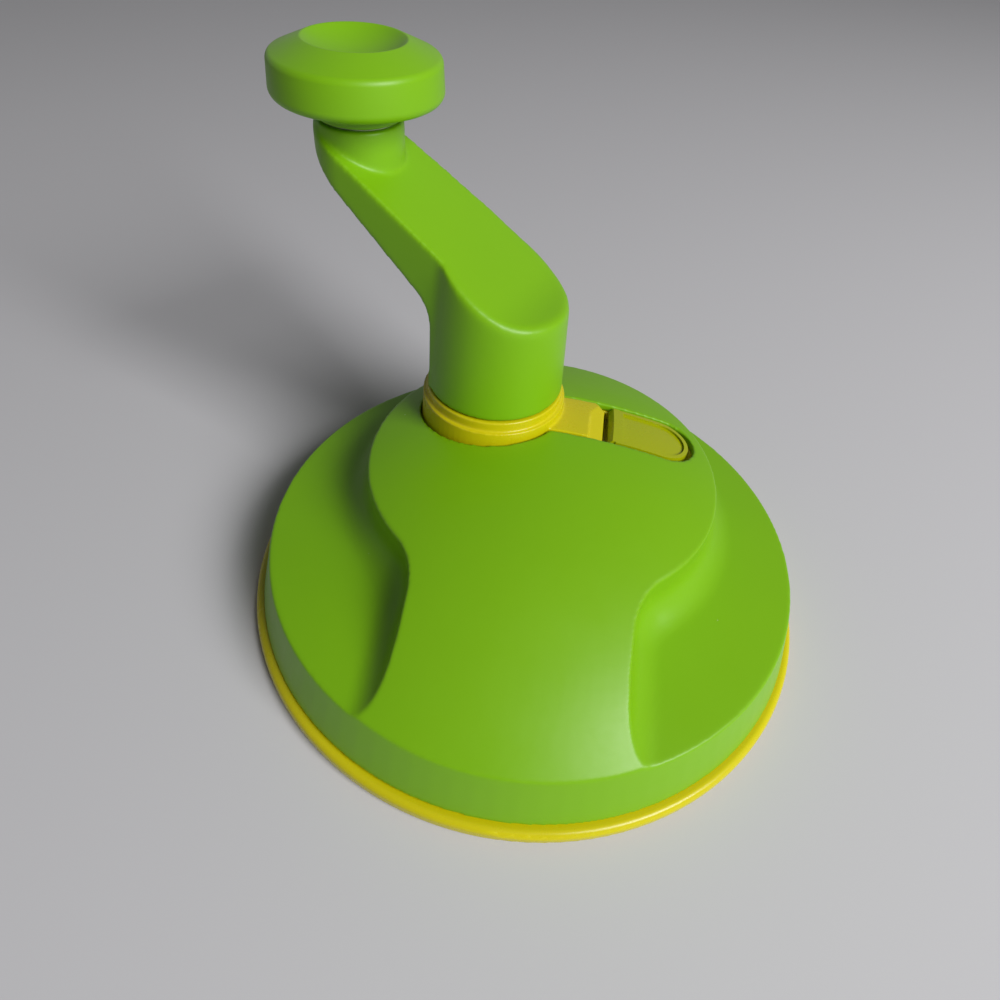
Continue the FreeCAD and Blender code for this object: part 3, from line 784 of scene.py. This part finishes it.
@dataclass
class CollarAndFlap:
    """The yellow collar with its bar and chute, and the flap over the chute."""

    edge_cell_mm: float = 0.33
    edge_passes: int = 3

    def build(self, shop: FinishShop) -> None:
        """Dress the collar and the flap.

        Args:
            shop: Source of the finishes.
        """
        collar = softened("collar_frame", "collar_skin", self.edge_cell_mm, self.edge_passes)
        shop.dress(collar, Finish.LEMON_ABS)
        shop.dress(frame["nodes"]["filler_flap"], Finish.OLIVE_ABS)
        shop.dress(frame["nodes"]["flap_pin"], Finish.STEEL)


@dataclass
class CrankAndKnob:
    """The crank with its socket, and the dished knob that turns in it.

    Distances along the arm are measured from the crank's axis towards the knob's.
    """

    boss_radius_mm: float = 20.4
    boss_draft_deg: float = 2.8
    flat_at_mm: float = 15.0
    arm_half_width_mm: float = 14.8
    end_half_width_mm: float = 13.8
    arm_blend_mm: float = 6.0
    slope_deg: float = 29.2
    slope_level_mm: float = 90.02
    boss_slope_deg: float = 6.0
    boss_level_mm: float = 85.07
    boss_blend_mm: float = 30.0
    root_depth_mm: float = 17.2
    end_depth_mm: float = 9.8
    end_blend_mm: float = 6.0
    under_blend_mm: float = 12.0
    blend_steps: int = 16
    boss_steps: int = 72
    hollow_steps: int = 12
    end_steps: int = 36
    spare_mm: float = 10.0
    clear_mm: float = 1.0
    socket_radius_mm: float = 11.5
    bore_radius_mm: float = 8.0
    recess_radius_mm: float = 7.2
    screw_hole_mm: float = 3.2
    wall_mm: float = 2.8
    hub_radius_mm: float = 9.0
    hub_set_back_mm: float = 1.0
    run_out_mm: float = 2.0
    recess_run_mm: float = 40.0
    socket_rise_mm: float = 5.5
    socket_root_mm: float = 12.0
    crease_deg: float = 50.0
    cell_mm: float = 0.5
    passes: int = 20
    rim_passes: int = 80
    rim_from_mm: float = 13.0
    rim_fade_mm: float = 10.0
    knob_top_round_mm: float = 2.0
    knob_foot_round_mm: float = 2.2
    neck_radius_mm: float = 11.1
    dish_radius_mm: float = 12.9
    dish_depth_mm: float = 4.0
    knob_draft_mm: float = 0.7
    knob_shoulder_mm: float = 3.6
    knob_height_mm: float = 13.0
    joint_gap_mm: float = 0.4
    face_gap_mm: float = 0.1
    running_gap_mm: float = 0.06
    thread_hole_mm: float = 2.22
    thread_tip_mm: float = 0.5
    stub_round_mm: float = 0.3
    neck_round_mm: float = 0.4
    neck_hollow_mm: float = 0.8
    dish_round_mm: float = 0.7
    dish_edge_mm: tuple[float, float] = (1.6, 1.0)
    dish_start_mm: float = 1.8
    dish_steps: int = 20
    corner_steps: int = 8
    bore_segments: int = 96
    knob_segments: int = 160
    gate_mark_mm: tuple[tuple[float, float], ...] = (
        (1.15, 0.05),
        (1.0, 0.35),
        (0.6, 0.28),
        (0.0, 0.3),
    )
    gate_clear_mm: float = 1.2

    def build(self, shop: FinishShop) -> None:
        """Build and dress the crank and the knob.

        Args:
            shop: Source of the finishes.
        """
        for piece in (self.crank(), self.knob()):
            shop.dress(piece, Finish.LIME_ABS)
        shop.dress(frame["nodes"]["friction_washer"], Finish.WHITE_ACETAL)
        screw = CrossRecess().cut("knob_screw", [middle_of("knob_screw")])
        shop.dress(screw, Finish.STEEL)
        shop.dress(frame["nodes"]["knob_washer"], Finish.STEEL)

    def plan(self, boss: float, throw: float) -> list[tuple[float, float]]:
        """Give the crank's plan: tangent to the boss behind, set in from it in front.

        Args:
            boss: Radius of the boss at that height in mm.
            throw: Distance between the two axes in mm.

        Returns:
            Points along and across the arm in mm, anticlockwise.
        """
        end = self.end_half_width_mm
        reach = throw + self.socket_radius_mm - end
        behind = math.acos((boss - end) / reach)
        lean = math.asin((self.arm_half_width_mm - end) / reach)
        blend = self.arm_blend_mm
        normal = Vector((math.sin(lean), -math.cos(lean)))
        along = Vector((math.cos(lean), math.sin(lean)))
        offset = self.arm_half_width_mm + blend
        hollow = normal * offset + along * math.sqrt((boss + blend) ** 2 - offset**2)
        leave = math.atan2(hollow.y, hollow.x) + math.tau
        quarter = math.pi / 2
        points = self.arc((0.0, 0.0), boss, behind, leave, self.boss_steps)
        points += self.arc(
            tuple(hollow), blend, leave - math.pi, lean + quarter, self.hollow_steps
        )[1:]
        points += self.arc((reach, 0.0), end, lean - quarter, behind, self.end_steps)
        return [(u, -v) for u, v in reversed(points)]

    @staticmethod
    def arc(
        middle: tuple[float, float], radius: float, start: float, stop: float, steps: int
    ) -> list[tuple[float, float]]:
        """Give points on an arc.

        Args:
            middle: Its centre in mm.
            radius: Its radius in mm.
            start: First angle in radians.
            stop: Last angle in radians.
            steps: Number of steps.

        Returns:
            The points in mm.
        """
        points = []
        for i in range(steps + 1):
            angle = start + (stop - start) * i / steps
            points.append(
                (middle[0] + radius * math.cos(angle), middle[1] + radius * math.sin(angle))
            )
        return points

    def side(self, throw: float, low: float, high: float) -> list[tuple[float, float]]:
        """Give the crank's side view: flat boss top, slope, level end, and the sweep below.

        Args:
            throw: Distance between the two axes in mm.
            low: Height of the boss's lower face in mm.
            high: Height that the arm's end may not pass, in mm.

        Returns:
            Points along the arm and up, in mm, anticlockwise.
        """
        rise = math.tan(math.radians(self.slope_deg))
        flat = math.tan(math.radians(self.boss_slope_deg))
        far = throw + 2 * self.socket_radius_mm
        meet = (self.boss_level_mm - self.slope_level_mm) / (rise - flat)
        root = self.slope_level_mm + rise * self.flat_at_mm - self.root_depth_mm
        end = self.slope_level_mm + rise * throw - self.end_depth_mm
        under = (end - root) / (throw - self.flat_at_mm)
        below = low - self.spare_mm / 2
        under_far = root + under * (far - self.flat_at_mm)
        corners = [
            (-far, below, 0.0),
            (self.flat_at_mm, below, 0.0),
            (self.flat_at_mm, root, self.under_blend_mm),
            (far, under_far, 0.0),
            (far, max(high, under_far) + self.clear_mm, 0.0),
            ((high - self.slope_level_mm) / rise, high, self.end_blend_mm),
            (meet, self.slope_level_mm + rise * meet, self.boss_blend_mm),
            (-far, self.boss_level_mm - flat * far, 0.0),
        ]
        return rounded(corners, self.blend_steps)

    def crank(self) -> bpy.types.Object:
        """Make the crank: drafted plan, cut to its side view, with socket, bores and cavity.

        Returns:
            The crank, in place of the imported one.
        """
        foot = Vector((*middle_of("crank_screw"), 0.0))
        head = Vector((*middle_of("knob_screw"), 0.0))
        throw = (head - foot).length
        low = bottom_of("crank")
        top = top_of("crank")
        place = Matrix.Translation(foot * MM) @ Matrix.Rotation(
            math.atan2((head - foot).y, (head - foot).x), 4, "Z"
        )
        slim = math.tan(math.radians(self.boss_draft_deg))
        rings = []
        for level in (low, top + self.spare_mm):
            boss = self.boss_radius_mm - slim * (level - low)
            rings.append(
                [place @ (Vector((u, v, level)) * MM) for u, v in self.plan(boss, throw)]
            )
        piece = add_piece("crank_moulding", rings_mesh("crank_moulding", rings))
        outline = self.side(throw, low, top - self.socket_rise_mm)
        walls = []
        for across in (self.boss_radius_mm * 2, -self.boss_radius_mm * 2):
            walls.append([place @ (Vector((u, across, z)) * MM) for u, z in outline])
        carve(piece, add_piece("side_tool", rings_mesh("side_tool", walls)), "INTERSECT")
        root = top - self.socket_root_mm
        socket = [
            (0.0, root),
            (self.socket_radius_mm, root),
            (self.socket_radius_mm, top),
            (0.0, top),
        ]
        carve(piece, lathe("socket_tool", socket, tuple(head.xy)), "UNION")
        soften(piece, self.cell_mm, self.passes)
        self.round_rim(piece, place.inverted(), low)
        for tool in self.hollows(tuple(foot.xy), tuple(head.xy), low, top):
            carve(piece, tool)
        piece.data.set_sharp_from_angle(angle=math.radians(self.crease_deg))
        stand_for(piece, "crank")
        return piece

    def round_rim(self, piece: bpy.types.Object, flat: Matrix, low: float) -> None:
        """Round the rim of the boss's top more than the arm's edges.

        Args:
            piece: The crank.
            flat: Turns its points to distances along and across the arm.
            low: Height of the boss's lower face in mm.
        """
        group = piece.vertex_groups.new(name="boss_rim")
        for vert in piece.data.vertices:
            spot = flat @ vert.co / MM
            near = min(1.0, max(0.0, (self.rim_from_mm - spot.x) / self.rim_fade_mm))
            high = min(1.0, max(0.0, (spot.z - low - self.rim_fade_mm) / self.rim_fade_mm))
            if near * high > 0:
                group.add([vert.index], near * high, "REPLACE")
        relax = piece.modifiers.new("round_rim", "SMOOTH")
        relax.factor = RELAX_FACTOR
        relax.iterations = self.rim_passes
        relax.vertex_group = "boss_rim"
        bake(piece)

    def hollows(
        self, foot: tuple[float, float], head: tuple[float, float], low: float, top: float
    ) -> list[bpy.types.Object]:
        """Make the solids that hollow the boss and bore the socket.

        Args:
            foot: The crank's axis in mm.
            head: The knob's axis in mm.
            low: Height of the boss's lower face in mm.
            top: Height of the socket's lip in mm.

        Returns:
            The cutting solids.
        """
        shaft_top = top_of("crank_shaft")
        hub_low = top_of("shaft_bush_upper") + self.joint_gap_mm
        shaft_low, shaft_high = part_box("crank_shaft")
        shaft = (shaft_high[0] - shaft_low[0]) / 2 / MM
        inside = self.boss_radius_mm - self.wall_mm
        roof = shaft_top - self.hub_set_back_mm
        mouth = low - self.run_out_mm
        cavity = [
            (0.0, mouth),
            (inside, mouth),
            (inside, roof),
            (self.hub_radius_mm, roof),
            (self.hub_radius_mm, hub_low),
            (shaft, hub_low),
            (shaft, shaft_top),
            (0.0, shaft_top),
        ]
        floor = bottom_of("knob") - self.joint_gap_mm
        recess = top_of("knob_washer") + self.face_gap_mm
        below = recess - self.recess_run_mm
        above = top + self.run_out_mm
        bore = [
            (0.0, below),
            (self.recess_radius_mm, below),
            (self.recess_radius_mm, recess),
            (self.screw_hole_mm, recess),
            (self.screw_hole_mm, floor),
            (self.bore_radius_mm, floor),
            (self.bore_radius_mm, above),
            (0.0, above),
        ]
        return [
            lathe("cavity_tool", cavity, foot),
            lathe("bore_tool", bore, head, self.bore_segments),
        ]

    def knob(self) -> bpy.types.Object:
        """Turn the knob: stub, neck, near-upright side, cone and dish with its gate mark.

        Returns:
            The knob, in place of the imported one.
        """
        axis = middle_of("knob_screw")
        low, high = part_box("knob")
        outer = (high[0] - low[0]) / 2 / MM
        bottom, top = bottom_of("knob"), top_of("knob")
        neck_low = top_of("friction_washer") + self.face_gap_mm
        foot = top - self.knob_height_mm
        edge = top - self.knob_shoulder_mm
        stub = self.bore_radius_mm - self.running_gap_mm
        bite = top_of("knob_screw") + self.thread_tip_mm
        ball = (self.dish_radius_mm**2 + self.dish_depth_mm**2) / (2 * self.dish_depth_mm)
        corners = [
            (0.0, bite, 0.0),
            (self.thread_hole_mm, bite, 0.0),
            (self.thread_hole_mm, bottom, 0.0),
            (stub, bottom, self.stub_round_mm),
            (stub, neck_low, 0.0),
            (self.neck_radius_mm, neck_low, self.neck_round_mm),
            (self.neck_radius_mm, foot, self.neck_hollow_mm),
            (outer, foot, self.knob_foot_round_mm),
            (outer - self.knob_draft_mm, edge, self.knob_top_round_mm),
            (self.dish_radius_mm, top, self.dish_round_mm),
            (self.dish_radius_mm - self.dish_edge_mm[0], top - self.dish_edge_mm[1], 0.0),
        ]
        profile = rounded(corners, self.corner_steps)
        base = top - self.dish_depth_mm
        reach = self.dish_radius_mm - self.dish_start_mm
        for i in range(self.dish_steps):
            r = reach * (1 - i / self.dish_steps)
            if r > self.gate_clear_mm:
                profile.append((r, base + ball - math.sqrt(ball**2 - r**2)))
        profile += [(r, base + rise) for r, rise in self.gate_mark_mm]
        piece = lathe("knob_moulding", profile, axis, self.knob_segments)
        stand_for(piece, "knob")
        return piece


@dataclass
class GearTrain:
    """Gears, bushes and driver inside the cover."""

    acetal: tuple[str, ...] = (
        "shaft_bush_upper",
        "shaft_bush_lower",
        "drive_gear",
        "output_pinion",
        "pinion_bush_upper",
        "pinion_bush_lower",
        "blade_driver",
    )
    steel: tuple[str, ...] = (
        "crank_shaft",
        "thrust_washer",
        "crank_washer",
    )
    screws: tuple[str, ...] = ("crank_screw", "driver_screw")

    def build(self, shop: FinishShop) -> None:
        """Dress the moving parts under the dome.

        Args:
            shop: Source of the finishes.
        """
        for node in self.acetal:
            shop.dress(frame["nodes"][node], Finish.WHITE_ACETAL)
        for node in self.steel:
            shop.dress(frame["nodes"][node], Finish.STEEL)
        for node in self.screws:
            piece = CrossRecess().cut(node, [middle_of(node)])
            shop.dress(piece, Finish.STEEL)


@dataclass
class Studio:
    """Pale floor, a soft lamp and the camera at the photograph's place."""

    eye_mm: tuple[float, float, float] = (0.0, -147.53, 187.98)
    pan_deg: float = -4.2665
    tilt_deg: float = 46.281
    roll_deg: float = 5.963
    lens_mm: float = 25.857
    sensor_mm: float = 36.0
    near_m: float = 0.01
    floor_m: float = 6.0
    floor_colour: str = "c4c3c6"
    key_from: tuple[float, float, float] = (0.68, -0.5, 0.68)
    key_distance_m: float = 1.6
    key_size_m: float = 0.8
    key_watts: float = 32.0
    sky_strength: float = 0.09

    def build(self) -> None:
        """Set the camera, the floor, the lamp and the world."""
        self.place_camera()
        self.lay_floor()
        self.hang_lamp("key_lamp", self.key_from, self.key_size_m, self.key_watts)
        self.fill_sky()
        bpy.context.scene.view_settings.view_transform = "Standard"

    def place_camera(self) -> None:
        """Put the camera where the photograph was taken from."""
        lens = bpy.data.cameras.new("photo_camera")
        lens.lens = self.lens_mm
        lens.sensor_width = self.sensor_mm
        lens.clip_start = self.near_m
        camera = bpy.data.objects.new("photo_camera", lens)
        turn = (
            Matrix.Rotation(-math.radians(self.pan_deg), 4, "Z")
            @ Matrix.Rotation(math.pi / 2 - math.radians(self.tilt_deg), 4, "X")
            @ Matrix.Rotation(math.radians(self.roll_deg), 4, "Z")
        )
        camera.matrix_world = Matrix.Translation(Vector(self.eye_mm) * MM) @ turn
        bpy.context.scene.collection.objects.link(camera)
        bpy.context.scene.camera = camera

    def lay_floor(self) -> None:
        """Lay a pale floor that keeps the object's shadow."""
        mesh = bpy.data.meshes.new("floor")
        form = bmesh.new()
        bmesh.ops.create_grid(form, x_segments=1, y_segments=1, size=self.floor_m / 2)
        form.to_mesh(mesh)
        form.free()
        floor = bpy.data.objects.new("floor", mesh)
        bpy.context.scene.collection.objects.link(floor)
        material, tree = new_material("pale_backdrop_paper")
        shader = add_node(
            tree,
            "ShaderNodeBsdfPrincipled",
            values={"Base Color": linear(self.floor_colour), "Roughness": 0.9, "IOR": 1.3},
        )
        add_node(tree, "ShaderNodeOutputMaterial", {"Surface": shader.outputs["BSDF"]})
        mesh.materials.append(material)

    def hang_lamp(
        self, name: str, towards: tuple[float, float, float], size_m: float, watts: float
    ) -> None:
        """Hang a square soft lamp that faces the object.

        Args:
            name: Name of the lamp.
            towards: Direction from the object to the lamp.
            size_m: Side of its square.
            watts: Its power.
        """
        lamp = bpy.data.lights.new(name, "AREA")
        lamp.size = size_m
        lamp.energy = watts
        holder = bpy.data.objects.new(name, lamp)
        way = Vector(towards).normalized()
        holder.location = way * self.key_distance_m
        holder.rotation_mode = "QUATERNION"
        holder.rotation_quaternion = way.to_track_quat("Z", "Y")
        bpy.context.scene.collection.objects.link(holder)

    def fill_sky(self) -> None:
        """Fill the room with soft light, and show the camera and reflections a pale backdrop."""
        world = bpy.data.worlds.new("soft_room")
        world.use_nodes = True
        tree = world.node_tree
        tree.nodes.clear()
        path = add_node(tree, "ShaderNodeLightPath")
        seen = add_node(
            tree,
            "ShaderNodeMath",
            {0: path.outputs["Is Camera Ray"], 1: path.outputs["Is Glossy Ray"]},
            operation="MAXIMUM",
        )
        seen_too = add_node(
            tree,
            "ShaderNodeMath",
            {0: seen.outputs["Value"], 1: path.outputs["Is Transmission Ray"]},
            operation="MAXIMUM",
        )
        light = add_node(
            tree,
            "ShaderNodeBackground",
            values={"Color": (1.0, 1.0, 1.0, 1.0), "Strength": self.sky_strength},
        )
        backdrop = add_node(
            tree,
            "ShaderNodeBackground",
            values={"Color": linear("dcdcdc"), "Strength": 0.5},
        )
        mix = add_node(
            tree,
            "ShaderNodeMixShader",
            {
                0: seen_too.outputs["Value"],
                1: light.outputs["Background"],
                2: backdrop.outputs["Background"],
            },
        )
        add_node(tree, "ShaderNodeOutputWorld", {"Surface": mix.outputs["Shader"]})
        bpy.context.scene.world = world


def main() -> None:
    """Build the pieces in order and report each."""
    logging.basicConfig(level=logging.INFO, format="%(message)s")
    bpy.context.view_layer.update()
    shop = FinishShop()
    Studio().build()
    LOG.info("studio built")
    for assembly in (DomeShell(), CollarAndFlap(), CrankAndKnob(), GearTrain()):
        assembly.build(shop)
        LOG.info("%s built", type(assembly).__name__)


if __name__ == "__main__":
    main()
